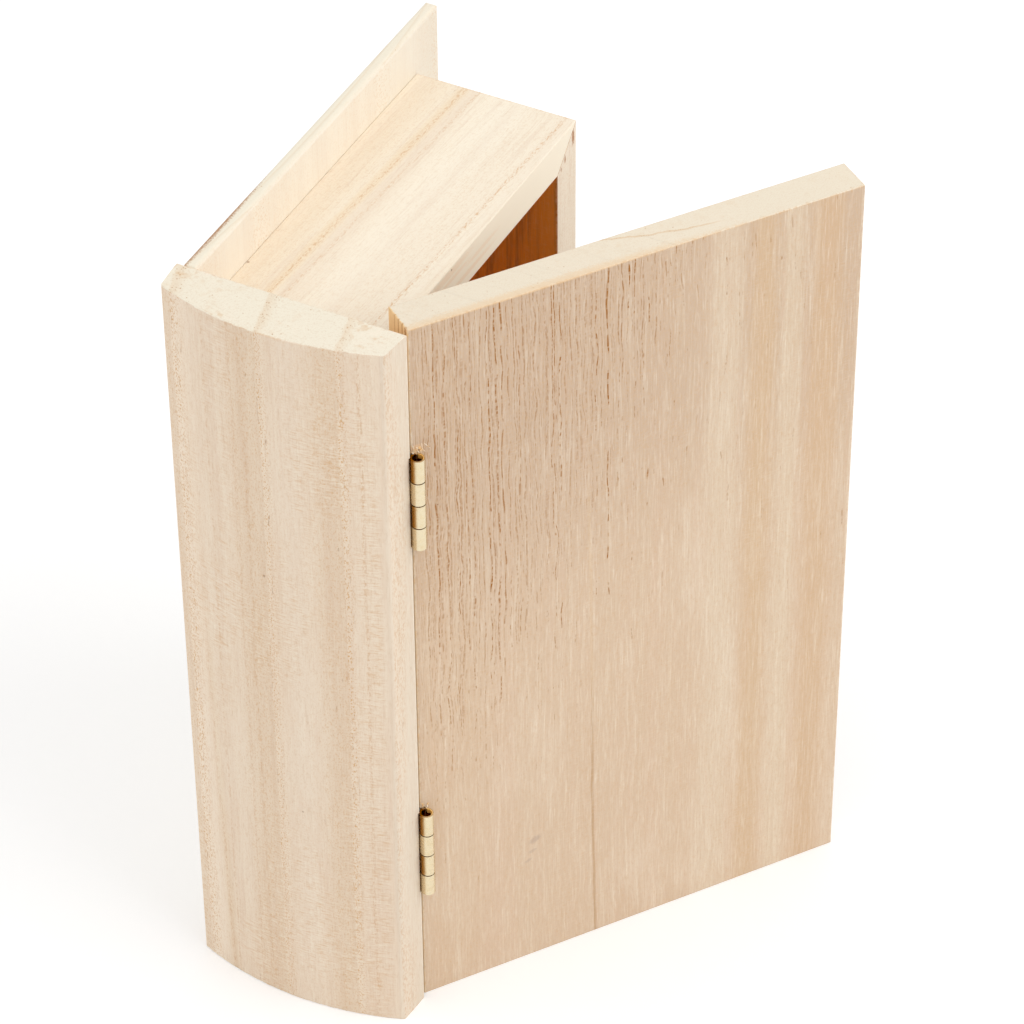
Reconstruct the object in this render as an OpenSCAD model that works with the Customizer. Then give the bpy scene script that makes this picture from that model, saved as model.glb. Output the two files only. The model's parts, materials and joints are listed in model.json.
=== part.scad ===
// A wooden box in the shape of a standing book: a rounded spine, a thin back cover, a tray of four
// mitred boards and a thick front cover that swings on two rolled brass butt hinges.
// +Z is up, the spine faces -Y, the front cover is on the +X side and the fore-edge is at +Y.
// The origin is the middle of the spine's foot. Sizes are in millimetres and angles in degrees.

/* [Box] */
// Height of the spine and of both covers
box_h = 180; // [140:1:260]
// Width of the spine, across the closed book
spine_w = 50; // [40:1:90]
// Length of both covers, from the spine's inner face to their fore-edges
cover_l = 100; // [80:1:150]

/* [Spine] */
// Thickness of the spine at its flat sides
spine_side_t = 7.5; // [7:0.5:12]
// Rise of the rounded back above its two long edges
spine_crown = 4.5; // [3:0.5:8]
// How far each flat side leans in towards the rounded back
spine_lean = 0.7; // [0:0.1:1.5]
// Radius of the long edges between the sides and the rounded back
spine_edge_r = 1; // [0.5:0.1:2]

/* [Covers] */
// Thickness of the front cover
front_t = 8.4; // [7.5:0.1:12]
// Thickness of the back cover
back_t = 3; // [2.5:0.5:8]
// How far the closed front cover's face lies in from the spine's side
front_set_in = 0.4; // [0.1:0.1:0.8]
// How far the back cover's face lies in from the spine's side
back_set_in = 1.2; // [0.5:0.1:3]
// Gap between the spine and the front cover's end, which the hinges bridge
joint_gap = 0.1; // [0.1:0.05:0.4]
// Radius of the sanded arrises of the thick boards
arris_r = 0.3; // [0.2:0.1:0.8]
// Radius of the sanded arrises of the back cover
back_arris_r = 0.9; // [0.3:0.1:1.2]

/* [Tray] */
// Thickness of the four tray boards
board_t = 8.5; // [5:0.5:12]
// Distance of the tray from the head and from the tail of the covers
tray_inset = 11; // [5:0.5:20]
// Distance of the tray from the fore-edge of the covers
fore_inset = 10; // [5:0.5:20]
// Gap between the tray's rim and the closed front cover
rim_gap = 0.2; // [0.1:0.05:0.5]
// Width of the open line of each mitre
mitre_gap = 0.15; // [0.05:0.05:0.3]

/* [Hinges] */
// Length of each hinge
hinge_l = 22.5; // [20:0.5:34]
// Distance of the upper hinge's middle from the head
hinge_head = 41.5; // [25:0.5:55]
// Distance of the lower hinge's middle from the tail
hinge_tail = 43.5; // [25:0.5:55]
// Number of knuckles on each hinge
knuckles = 4; // [2:1:5]
// Gap between neighbouring knuckles
knuckle_gap = 0.25; // [0.15:0.05:0.4]
// Outer radius of the knuckles
knuckle_r = 1.5; // [1.4:0.05:1.8]
// Thickness of the brass sheet of the leaves
sheet_t = 0.4; // [0.35:0.05:0.6]
// Gap between the two leaves of a closed hinge
leaf_gap = 0.8; // [0.4:0.1:1]
// Width of a leaf, from the pin's axis to its edge
leaf_w = 8; // [7.5:0.1:8.5]
// Distance of the pin's axis outside the spine's side
pin_proud = 1.25; // [1.1:0.05:1.6]
// How deep the pin's ends lie inside the outer knuckles
pin_recess = 3; // [0.5:0.1:4]
// Width of the slit where the rolled sheet meets its leaf
roll_slit = 0.15; // [0.1:0.05:0.25]
// Radial clearance of the pin in the knuckles
pin_fit = 0.03; // [0.01:0.01:0.06]
// Clearance round each leaf in its recess
leaf_fit = 0.1; // [0.05:0.05:0.3]
// Clearance between the knuckles and the wood notched for them
notch_fit = 0.2; // [0.15:0.05:0.4]

/* [Screws] */
// Length of the hinge screws
screw_l = 6; // [5:0.5:6.5]
// Radius of a screw's shank
screw_r = 0.8; // [0.6:0.1:1]
// Radius of a screw's countersunk head
screw_head_r = 1.6; // [1.4:0.1:1.9]
// Distance of the screws from the ends of their leaf
screw_end = 5; // [3.5:0.5:7]
// Width and depth of the slot in a screw's head
screw_slot = 0.35; // [0.25:0.05:0.5]
// Clearance round a screw in its hole
screw_fit = 0.05; // [0.02:0.01:0.08]

/* [Pose] */
// Opening angle of the front cover from closed
open_angle = 36; // [0:1:200]

/* [Hidden] */
$fn = 48;
// Overrun of a cut past the face that it opens
over = 1;

// Spine: its inner face, and the circle of its rounded back
half_w = spine_w / 2;
spine_t = spine_side_t + spine_crown;
inner_y = spine_t / 2;
back_half_w = half_w - spine_lean;
crown_r = (back_half_w * back_half_w + spine_crown * spine_crown) / (2 * spine_crown);
crown_centre = [0, crown_r - spine_t / 2];

// Rounded long edge: a circle that touches the leaning side and the rounded back
side_foot = [half_w, inner_y];
side_len = norm([spine_lean, spine_side_t]);
side_dir = [-spine_lean, -spine_side_t] / side_len;
side_in = [side_dir.y, -side_dir.x];
edge_start = side_foot + spine_edge_r * side_in - crown_centre;
edge_run = -edge_start * side_dir
    + sqrt(pow(edge_start * side_dir, 2) - edge_start * edge_start + pow(crown_r - spine_edge_r, 2));
edge_centre = crown_centre + edge_start + edge_run * side_dir;
edge_on_side = side_foot + edge_run * side_dir;
edge_on_back = crown_centre
    + (edge_centre - crown_centre) * crown_r / (crown_r - spine_edge_r);
side_corner = [back_half_w, inner_y - spine_side_t];

// Covers and tray, as planes across the book and along it
front_x = half_w - front_set_in;
rim_x = front_x - front_t - rim_gap;
back_x = -half_w + back_set_in;
tray_x = back_x + back_t;
cover_end_y = inner_y + cover_l;
tray_end_y = cover_end_y - fore_inset;
tray_foot_z = tray_inset;
tray_head_z = box_h - tray_inset;
// Setback of a mitred face along its board, for half of the open line
mitre_back = mitre_gap / sqrt(2);

// Hinges: the pin's axis, the heights of their middles, and the rolled sheet
hinge_x = half_w + pin_proud;
hinge_y = inner_y + sheet_t + leaf_gap / 2;
upper_z = box_h - hinge_head;
lower_z = hinge_tail;
bore_r = knuckle_r - sheet_t;
pin_r = bore_r - pin_fit;
knuckle_pitch = (hinge_l + knuckle_gap) / knuckles;
knuckle_l = knuckle_pitch - knuckle_gap;
notch_r = knuckle_r + notch_fit;
recess_l = hinge_l + 2 * leaf_fit;
// A leaf's back, level with the spine's inner face, from the pin's axis
leaf_back = -sheet_t - leaf_gap / 2;
// Overlap that keeps a slanting face from just touching a round one
bite = 0.02;
// Where the slant under a knuckle, and the slant of its notch, start on the leaf's back
knuckle_root = [-notch_r, leaf_back];
notch_root = [-notch_r - 2 * notch_fit, leaf_back];

// Screws: on the middle line of the flat part of a leaf
screw_x = -(leaf_w + notch_r) / 2;
screw_z = hinge_l / 2 - screw_end;
screw_head_l = screw_head_r - screw_r;
screw_tip_l = 2 * screw_r;

// A rectangle from the origin with rounded corners
module eased_rect(size, r) {
    translate([r, 0]) square([size.x - 2 * r, size.y]);
    translate([0, r]) square([size.x, size.y - 2 * r]);
    for (x = [r, size.x - r])
        for (y = [r, size.y - r])
            translate([x, y]) circle(r);
}

// A board from the origin with all its arrises rounded
module eased_board(size, r) {
    intersection() {
        linear_extrude(size.z) eased_rect([size.x, size.y], r);
        rotate([90, 0, 90]) linear_extrude(size.x) eased_rect([size.y, size.z], r);
        translate([0, size.y, 0]) rotate([90, 0, 0]) linear_extrude(size.y) eased_rect([size.x, size.z], r);
    }
}

// Moves the closed front cover and what is fixed to it to the opening angle
module swung() {
    translate([hinge_x, hinge_y, 0])
        rotate([0, 0, -open_angle])
            translate([-hinge_x, -hinge_y, 0]) children();
}

// The sharp corner that the rounded long edge leaves out
module edge_waste() {
    difference() {
        polygon([edge_centre, edge_on_side, 2 * side_corner - edge_centre, edge_on_back]);
        translate(edge_centre) circle(spine_edge_r);
    }
}

// The spine seen from above, between its leaning sides and the circle of its back
module spine_plan() {
    side_end = side_foot + 2 * side_len * side_dir;
    difference() {
        intersection() {
            translate(crown_centre) circle(crown_r, $fn = 360);
            polygon([side_foot, side_end, [-side_end.x, side_end.y], [-side_foot.x, side_foot.y]]);
        }
        edge_waste();
        mirror([1, 0]) edge_waste();
    }
}

// The rounded back with the arrises of its head and tail rounded along the curve
module crowned_blank() {
    translate(crown_centre) rotate_extrude($fn = 360)
        intersection() {
            translate([-over - arris_r, 0]) eased_rect([crown_r + over + arris_r, box_h], arris_r);
            square([crown_r, box_h]);
        }
}

// The point where a line from p touches, on its far side, a circle of radius r round the origin
function touch(p, r) = (r * r * p + r * sqrt(p * p - r * r) * [-p.y, p.x]) / (p * p);

// What a hinge needs cut from the wood behind its leaf: room for the knuckles, and two screw holes.
// The pin's axis is at the origin and the leaf lies towards -X.
module knuckle_notch() {
    translate([0, 0, -recess_l / 2]) linear_extrude(recess_l) {
        circle(notch_r);
        polygon([notch_root, touch(notch_root, notch_r - bite), [0, 0], [0, leaf_back]]);
    }
    for (side = [-1, 1])
        at_screw(side) screw_shape(screw_fit, screw_tip_l);
}

// The pocket in the cover's end that holds both leaves of the closed hinge
module leaf_pocket() {
    translate([-leaf_w - leaf_fit, leaf_back, -recess_l / 2])
        cube([leaf_w + leaf_fit, 2 * sheet_t + leaf_gap, recess_l]);
}

// Places a screw in the spine's leaf, with its head in the leaf's face
module at_screw(side) {
    translate([screw_x, -leaf_gap / 2, side * screw_z]) rotate([-90, 0, 0]) children();
}

// A countersunk screw pointing down, grown all round by fit and ending in a tip of the given length
module screw_shape(fit, tip_l) {
    rotate_extrude($fn = 32)
        polygon([[0, fit], [screw_head_r + fit, fit], [screw_head_r + fit, 0],
            [screw_r + fit, -screw_head_l], [screw_r + fit, tip_l - screw_l], [0, -screw_l - fit]]);
}

// The flat part and the rolled knuckles of one leaf. The pin's axis is at the origin.
// The leaf has every second knuckle, counted down from the first.
module rolled_leaf(first) {
    difference() {
        union() {
            translate([-leaf_w, leaf_back, -hinge_l / 2])
                cube([leaf_w - notch_r, sheet_t, hinge_l]);
            for (i = [first : 2 : knuckles - 1])
                translate([0, 0, hinge_l / 2 - i * knuckle_pitch - knuckle_l])
                    linear_extrude(knuckle_l) knuckle_section();
        }
        for (side = [-1, 1])
            at_screw(side) screw_shape(0, screw_tip_l);
    }
}

// A knuckle as the sheet is rolled: from the leaf right round the pin and back to the leaf
module knuckle_section() {
    difference() {
        union() {
            circle(knuckle_r);
            translate([-notch_r - over, leaf_back]) square([notch_r + over, sheet_t]);
            polygon([knuckle_root, touch(knuckle_root, knuckle_r - bite), [0, 0], [0, leaf_back]]);
        }
        circle(bore_r);
        translate([-knuckle_r - over, -leaf_gap / 2]) square([knuckle_r + over, roll_slit]);
    }
}

module hinge_pin() {
    pin_l = hinge_l - 2 * pin_recess;
    color("goldenrod") translate([0, 0, -pin_l / 2]) cylinder(r = pin_r, h = pin_l, $fn = 32);
}

// A screw in the spine's leaf, at the high (1) or low (-1) hole
module leaf_screw(side) {
    color("gold") at_screw(side) difference() {
        screw_shape(0, screw_tip_l);
        translate([-screw_head_r - over, -screw_slot / 2, -screw_slot])
            cube([2 * screw_head_r + 2 * over, screw_slot, screw_slot + over]);
    }
}

// Places what is made round the pin's axis on the spine's side of a hinge
module on_spine(z) {
    translate([hinge_x, hinge_y, z]) children();
}

// The same on the cover's side, which mirrors the spine's side across the joint when closed
module on_cover(z) {
    swung() translate([hinge_x, hinge_y, z]) mirror([0, 1, 0]) children();
}

module spine() {
    color("burlywood") difference() {
        intersection() {
            linear_extrude(box_h) spine_plan();
            crowned_blank();
            translate([-half_w, inner_y, 0]) rotate([90, 0, 0])
                linear_extrude(spine_t) eased_rect([spine_w, box_h], arris_r);
            translate([-half_w, -inner_y, 0]) rotate([90, 0, 90])
                linear_extrude(spine_w) eased_rect([spine_t, box_h], arris_r);
        }
        for (z = [upper_z, lower_z])
            on_spine(z) knuckle_notch();
    }
}

module back_cover() {
    color("wheat") translate([back_x, inner_y, 0])
        eased_board([back_t, cover_l, box_h], back_arris_r);
}

module front_cover() {
    color("tan") swung() difference() {
        translate([front_x - front_t, inner_y + joint_gap, 0])
            eased_board([front_t, cover_l - joint_gap, box_h], arris_r);
        for (z = [upper_z, lower_z])
            translate([hinge_x, hinge_y, z]) mirror([0, 1, 0]) {
                knuckle_notch();
                leaf_pocket();
            }
    }
}

// One tray board: a mitred outline across the book, cut from the block of the whole tray
module tray_board(outline) {
    color("bisque") intersection() {
        translate([tray_x, inner_y, tray_foot_z])
            eased_board([rim_x - tray_x, tray_end_y - inner_y, tray_head_z - tray_foot_z], arris_r);
        translate([tray_x - over, 0, 0]) rotate([90, 0, 90])
            linear_extrude(rim_x - tray_x + 2 * over) polygon(outline);
    }
}

module top_board() {
    tray_board([[inner_y + mitre_back, tray_head_z], [tray_end_y - mitre_back, tray_head_z],
        [tray_end_y - board_t - mitre_back, tray_head_z - board_t],
        [inner_y + board_t + mitre_back, tray_head_z - board_t]]);
}

module bottom_board() {
    translate([0, 0, box_h]) mirror([0, 0, 1]) top_board();
}

module fore_edge_board() {
    tray_board([[tray_end_y, tray_foot_z + mitre_back], [tray_end_y, tray_head_z - mitre_back],
        [tray_end_y - board_t, tray_head_z - board_t - mitre_back],
        [tray_end_y - board_t, tray_foot_z + board_t + mitre_back]]);
}

module spine_side_board() {
    translate([0, inner_y + tray_end_y, 0]) mirror([0, 1, 0]) fore_edge_board();
}

module upper_spine_leaf() {
    color("darkgoldenrod") on_spine(upper_z) rolled_leaf(1);
}

module lower_spine_leaf() {
    color("darkgoldenrod") on_spine(lower_z) rolled_leaf(1);
}

module upper_cover_leaf() {
    color("peru") on_cover(upper_z) rolled_leaf(0);
}

module lower_cover_leaf() {
    color("peru") on_cover(lower_z) rolled_leaf(0);
}

module upper_hinge_pin() {
    on_spine(upper_z) hinge_pin();
}

module lower_hinge_pin() {
    on_spine(lower_z) hinge_pin();
}

spine();
back_cover();
front_cover();
top_board();
bottom_board();
fore_edge_board();
spine_side_board();
upper_spine_leaf();
upper_cover_leaf();
upper_hinge_pin();
lower_spine_leaf();
lower_cover_leaf();
lower_hinge_pin();
on_spine(upper_z) leaf_screw(1);  // upper_spine_screw_high
on_spine(upper_z) leaf_screw(-1);  // upper_spine_screw_low
on_cover(upper_z) leaf_screw(1);  // upper_cover_screw_high
on_cover(upper_z) leaf_screw(-1);  // upper_cover_screw_low
on_spine(lower_z) leaf_screw(1);  // lower_spine_screw_high
on_spine(lower_z) leaf_screw(-1);  // lower_spine_screw_low
on_cover(lower_z) leaf_screw(1);  // lower_cover_screw_high
on_cover(lower_z) leaf_screw(-1);  // lower_cover_screw_low
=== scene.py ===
"""Looks for a wooden box in the shape of a standing book.

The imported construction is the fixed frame. This file gives every board its own sawn wood, the
hinges their rolled brass, the notches their torn fibres, and sets the studio round them.
"""

import inspect
import json
import math
import random

import bmesh
import bpy
from bpy.props import FloatProperty, FloatVectorProperty, IntProperty, PointerProperty
from mathutils import Matrix, Quaternion, Vector


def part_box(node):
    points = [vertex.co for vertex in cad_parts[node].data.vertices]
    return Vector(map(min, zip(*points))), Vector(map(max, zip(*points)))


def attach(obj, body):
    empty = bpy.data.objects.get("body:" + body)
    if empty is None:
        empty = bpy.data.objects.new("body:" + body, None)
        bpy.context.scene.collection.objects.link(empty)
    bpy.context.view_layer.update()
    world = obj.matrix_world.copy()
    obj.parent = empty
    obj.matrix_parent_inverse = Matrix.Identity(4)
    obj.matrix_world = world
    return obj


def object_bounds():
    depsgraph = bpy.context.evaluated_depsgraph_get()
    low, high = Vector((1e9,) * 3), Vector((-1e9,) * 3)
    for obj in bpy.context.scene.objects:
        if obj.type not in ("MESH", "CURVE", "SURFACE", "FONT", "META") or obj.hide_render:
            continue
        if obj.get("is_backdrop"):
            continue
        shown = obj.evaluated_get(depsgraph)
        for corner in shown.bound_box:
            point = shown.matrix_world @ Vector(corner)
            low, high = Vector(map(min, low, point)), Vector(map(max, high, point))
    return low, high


bl_info = {
    "name": "Book Box Looks",
    "version": (1, 0, 0),
    "blender": (4, 5, 0),
    "location": "3D View > Sidebar > Book Box",
    "description": "Sawn wood, rolled brass and a studio for a book-shaped wooden box",
    "category": "Object",
}

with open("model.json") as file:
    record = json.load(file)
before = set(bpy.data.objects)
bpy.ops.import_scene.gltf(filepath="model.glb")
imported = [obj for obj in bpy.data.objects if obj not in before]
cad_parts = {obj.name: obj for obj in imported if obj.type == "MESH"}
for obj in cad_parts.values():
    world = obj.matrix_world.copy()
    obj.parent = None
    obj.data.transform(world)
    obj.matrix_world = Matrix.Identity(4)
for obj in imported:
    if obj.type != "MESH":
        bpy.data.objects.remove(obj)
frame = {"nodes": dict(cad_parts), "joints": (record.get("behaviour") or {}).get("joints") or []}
cad_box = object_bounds()

MM = 0.001
HINGES = ("upper", "lower")
ORIGIN = (0, 0, 0)
ALONG_X = Vector((1, 0, 0))
ALONG_Y = Vector((0, 1, 0))
ALONG_Z = Vector((0, 0, 1))

# The cover's joint: its pin, and how far it stands open at rest
COVER_JOINT = frame["joints"][0]
PIN = Vector(COVER_JOINT["pos_m"])
OPEN_ANGLE = -math.radians(COVER_JOINT["range_deg"][0])
TO_CLOSED = Matrix.Rotation(OPEN_ANGLE, 3, "Z")
# Clearance of the notches above the hinges, in millimetres
LEAF_FIT = 0.1
# How far the splinters stay from the cover's hinge edge, in millimetres
SPLINTER_MARGIN = 0.2
# The way from the pin to the slit between the spine and the open cover, which the knuckles' painted dark
# reflection faces
CREVICE_SIDE = (-0.889, -0.458, 0)
# The way from the pin to the lip in the bore, which is painted as lit
LIP_SIDE = (0.57, 0.82, 0)


# Properties


def colour(name, what, value):
    return FloatVectorProperty(
        name=name, description="Colour of " + what, default=value, subtype="COLOR", min=0, max=1
    )


def metres(name, description, value):
    return FloatProperty(name=name, description=description, default=value, unit="LENGTH", min=0)


def millimetres(name, description, value):
    return metres(name, description, value * MM)


def watts(name, description, value):
    return FloatProperty(name=name, description=description, default=value, unit="POWER", min=0)


def share(name, description, value):
    return FloatProperty(
        name=name, description=description, default=value, subtype="FACTOR", min=0, max=1
    )


def degrees(name, description, value):
    angle = math.radians(value)
    return FloatProperty(
        name=name, description=description, default=angle, subtype="ANGLE", unit="ROTATION"
    )


def number(name, description, value):
    return IntProperty(name=name, description=description, default=value, min=0)


class BookBoxWood(bpy.types.PropertyGroup):
    """Tones and sizes of the sawn wood, and of the painted shade inside the tray."""

    spine_tone: colour("Spine", "the spine's wood", (0.85, 0.70, 0.545))
    front_tone: colour("Front cover", "the front cover's wood", (0.69, 0.52, 0.37))
    back_tone: colour("Back cover", "the back cover's wood", (0.925, 0.86, 0.74))
    tray_tone: colour("Tray", "the tray boards", (0.95, 0.855, 0.70))
    # Painted shade: the deep orange brown that stands for the shade and warm bounce light inside the tray
    tray_inner_tone: colour("Tray inside", "the tray's inner faces", (0.85, 0.36, 0.046))
    end_tone: colour("End grain", "the sawn ends of the boards", (0.88, 0.81, 0.665))
    late_tone: colour("Late wood", "the dense wood that closes a growth ring", (0.62, 0.42, 0.25))
    vessel_tone: colour("Vessels", "the open vessels along a face", (0.33, 0.115, 0.0))
    shallow_tone: colour("Shallow vessels", "the vessels near the foot", (0.42, 0.18, 0.01))
    pore_tone: colour("Pores", "the open pores on an end", (0.50, 0.27, 0.11))
    speck_tone: colour("Specks", "the rusty specks of torn fibre", (0.68, 0.40, 0.17))
    blush_tone: colour("Blush", "the pinkish wood between the rings", (0.72, 0.52, 0.38))
    pale_tone: colour("Pale wood", "the palest fibres and worn arrises", (0.93, 0.83, 0.68))
    arris_width: millimetres("Worn arris", "Width of the paler wood along the edges", 0.45)
    roughness: share("Roughness", "Roughness of the sanded wood", 0.68)


class BookBoxFibres(bpy.types.PropertyGroup):
    """Splinters that the cutter raised where it entered the hinge notches."""

    upper_count: number("Upper notch", "Splinters at the upper hinge", 18)
    lower_count: number("Lower notch", "Splinters at the lower hinge", 3)
    spread: millimetres("Spread", "Width of the torn patch along the cover", 3.1)
    length: millimetres("Length", "Length of the longest splinter", 1.9)
    width: millimetres("Width", "Width of the widest splinter", 0.34)
    lift: millimetres("Lift", "How far the loose ends stand off the face", 0.8)
    seed: number("Seed", "Choice of the splinters' places", 7)


class BookBoxBrass(bpy.types.PropertyGroup):
    """Tones of the hinge metal, and of the shade, reflection and light painted on it."""

    leaf_tone: colour("Leaves", "the rolled sheet brass", (0.785, 0.68, 0.47))
    pin_tone: colour("Pins", "the hinge pins", (0.45, 0.32, 0.15))
    # Painted light: the lip in the bore, lit where light falls into it
    lip_tone: colour("Lip", "the worn lip in the bore", (1.0, 0.58, 0.15))
    tarnish_tone: colour("Tarnish", "the darker patches on the brass", (0.70, 0.52, 0.24))
    # Painted shade and reflection: the dark of the bores and slits, and the dark reflection on the knuckles by
    # the spine
    crevice_tone: colour("Crevices", "the brass that polish never reaches", (0.36, 0.15, 0.0))
    roughness: share("Roughness", "Roughness of the brass", 0.24)


class BookBoxStudio(bpy.types.PropertyGroup):
    """Floor, light and camera."""

    floor_size: metres("Floor", "Width of the floor", 6)
    floor_tone: colour("Floor", "the floor", (0.86, 0.86, 0.86))
    floor_lift: share("Floor lift", "Light that only the camera sees on the floor", 0.22)
    sky: share("Sky", "Strength of the even light all round", 0.80)
    lamp_size: metres("Lamp size", "Width of each lamp", 1.8)
    lamp_distance: metres("Lamp distance", "Distance of the lamps", 2)
    key_power: watts("Key light", "Power of the main lamp", 16)
    key_azimuth: degrees("Key azimuth", "Turn of the main lamp round the box", 95)
    key_elevation: degrees("Key elevation", "Height angle of the main lamp", 40)
    fill_power: watts("Fill light", "Power of the second lamp", 4.5)
    fill_azimuth: degrees("Fill azimuth", "Turn of the second lamp round the box", -45)
    fill_elevation: degrees("Fill elevation", "Height angle of the second lamp", 30)
    azimuth: degrees("Azimuth", "Turn of the camera round the box", 27.339)
    elevation: degrees("Elevation", "Height angle of the camera", 40.464)
    roll: degrees("Roll", "Tilt of the camera about its own axis", -0.470)
    distance: metres("Distance", "Distance from the camera to its aim", 0.983)
    aim: FloatVectorProperty(
        name="Aim", description="Point that the camera looks at", default=(0.01765, 0.06286, 0.09)
    )
    focal_length: FloatProperty(
        name="Focal length", description="Focal length in millimetres", default=164.93, min=1
    )


# Shader building


def add(kind, values=None, tree=None, **settings):
    """A node with its settings and its inputs, in the given tree or the one of those inputs."""
    values = values or {}
    tree = tree or next(value.id_data for value in values.values() if is_socket(value))
    node = tree.nodes.new(kind)
    for name, setting in settings.items():
        setattr(node, name, setting)
    feed(node, values)
    return node


def is_socket(value):
    return isinstance(value, bpy.types.NodeSocket)


def feed(node, values):
    """Joins a node's inputs to sockets, or sets them to numbers, vectors or colours."""
    for name, value in values.items():
        socket = node.inputs[name]
        if is_socket(value):
            node.id_data.links.new(value, socket)
        elif socket.type == "RGBA" and len(value) == 3:
            socket.default_value = (*value, 1)
        else:
            socket.default_value = value


def calc(operation, *values, clamp=False):
    inputs = dict(enumerate(values))
    return add("ShaderNodeMath", inputs, operation=operation, use_clamp=clamp).outputs[0]


def plus(first, second):
    return calc("ADD", first, second)


def minus(first, second):
    return calc("SUBTRACT", first, second)


def times(first, *factors):
    for factor in factors:
        first = calc("MULTIPLY", first, factor)
    return first


def times_plus(value, factor, more):
    return calc("MULTIPLY_ADD", value, factor, more)


def over(first, second):
    return calc("DIVIDE", first, second)


def vector_calc(operation, *values):
    node = add("ShaderNodeVectorMath", dict(enumerate(values)), operation=operation)
    return node.outputs["Value" if operation in {"LENGTH", "DOT_PRODUCT"} else "Vector"]


def apart(first, second):
    return vector_calc("SUBTRACT", first, second)


def scaled(vector, factors):
    return vector_calc("MULTIPLY", vector, factors)


def ramp(value, low, high, to_low=0.0, to_high=1.0):
    """A smooth step from to_low at low to to_high at high."""
    values = dict(enumerate((value, low, high, to_low, to_high)))
    return add("ShaderNodeMapRange", values, interpolation_type="SMOOTHSTEP").outputs["Result"]


def fall(value, low, high):
    """A smooth step down, from 1 at low to 0 at high."""
    return ramp(value, low, high, 1.0, 0.0)


def mix(factor, first, second):
    """Colour second laid over colour first, by factor."""
    values = {0: factor, 6: first, 7: second}
    return add("ShaderNodeMix", values, data_type="RGBA", clamp_factor=True).outputs[2]


def split(vector):
    """The vector's X, Y and Z, or the colour's red, green and blue."""
    return add("ShaderNodeSeparateXYZ", {0: vector}).outputs


def combine(*values):
    return add("ShaderNodeCombineXYZ", dict(enumerate(values))).outputs[0]


def noise(vector, scale=1.0, detail=2.0, roughness=0.5):
    values = {"Vector": vector, "Scale": scale, "Detail": detail, "Roughness": roughness}
    return add("ShaderNodeTexNoise", values).outputs["Fac"]


def grain_noise(vector, across, along, detail=2.0, roughness=0.5):
    """Noise in cells of the given millimetres, across the grain and along it."""
    cells = (1 / across, 1 / across, 1 / along)
    return noise(scaled(vector, cells), 1.0, detail, roughness)


def wander(vector, across, along, detail=2.0, roughness=0.5):
    """Grain noise about zero, to bend a line with."""
    return minus(grain_noise(vector, across, along, detail, roughness), 0.5)


def seeded(vector, seed, depth=0.0):
    """The coordinates moved by the seed, so that each board has noise of its own."""
    return vector_calc("ADD", vector, combine(seed, depth, seed))


def bump(height, depth):
    """The normal over a relief as deep as the given millimetres."""
    values = {"Height": height, "Distance": depth * MM, "Strength": 1.0}
    return add("ShaderNodeBump", values).outputs["Normal"]


class Tint:
    """A colour that tones are laid over, one after the other."""

    def __init__(self, tone):
        self.colour = tone

    def lay(self, tone, mask, strength=None):
        """Lays a tone where the mask is, and only as strongly as given."""
        if strength is not None:
            mask = times(mask, strength)
        self.colour = mix(mask, self.colour, tone)


# Shared effects: each function fills a shader group of its name, which is built once. Its arguments
# are the group's inputs, and it returns what the group puts out. Every board is measured from its
# own corner in millimetres: X across its face, Y through its thickness and Z along the grain.

# Leaves the height out of a place
LEVEL = (1, 1, 0)
# Places in a growth ring, from 0 at its start to 1 at its end: where late wood darkens and stops
LATE_DARKENS = (0.5, 0.8)
LATE_STOPS = (0.97, 1.0)
# Noises of the wood: millimetres across the grain and along it, detail and roughness
STREAKS = {
    "Fine": (0.26, 6, 2, 0.65),
    "Speck": (0.3, 0.5, 2, 0.6),
    "Fuzz": (0.5, 1.9, 2, 0.6),
    "Streak": (1.1, 32, 2, 0.6),
    "Broad": (4.5, 160, 2, 0.55),
    "Patch": (14, 42, 3, 0.55),
}
# Radii in a knuckle, in millimetres, between which the painted shade of its bore, the painted light of its lip
# and the painted shade of its slit end
BORE_EDGE = (1.12, 1.2)
LIP_EDGE = (1.2, 1.3)
SLIT_EDGE = (1.38, 1.45)


def by_socket(values):
    """The values by the names of their sockets."""
    return {name.replace("_", " ").title(): value for name, value in values.items()}


def new_sockets(tree, direction, values):
    """Adds sockets to a group, named and set after the values."""
    for name, value in by_socket(values).items():
        kind = "Float" if isinstance(value, (int, float)) else "Vector"
        socket = tree.interface.new_socket(name, in_out=direction, socket_type="NodeSocket" + kind)
        socket.default_value = value


def build_effect(fill):
    """The shader group that a shared effect's function fills."""
    tree = bpy.data.node_groups.new(fill.__name__, "ShaderNodeTree")
    inputs = inspect.signature(fill).parameters
    new_sockets(tree, "INPUT", {name: value.default for name, value in inputs.items()})
    made = fill(*tree.nodes.new("NodeGroupInput").outputs[: len(inputs)])
    new_sockets(tree, "OUTPUT", {name: ORIGIN if name == "Vector" else 0 for name in made})
    feed(tree.nodes.new("NodeGroupOutput"), made)
    return tree


def effect(fill, **values):
    """Places a shared effect in a material, building it on first use. Returns its outputs."""
    group = bpy.data.node_groups.get(fill.__name__) or build_effect(fill)
    return add("ShaderNodeGroup", by_socket(values), node_tree=group).outputs


def grain_flow(place=ORIGIN, lean=0, sway=1, seed=0):
    """The board's coordinates bent as its fibres run: leaning, and swaying along the grain."""
    x, y, z = split(place)
    own = seeded(place, seed)
    slow = wander(own, 26, 75, roughness=0.4)
    ripple = wander(own, 6, 13)
    shift = times(times_plus(ripple, 0.3, slow), sway)
    shift = times_plus(z, lean, shift)
    return {"Vector": combine(plus(x, shift), y, z)}


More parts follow.
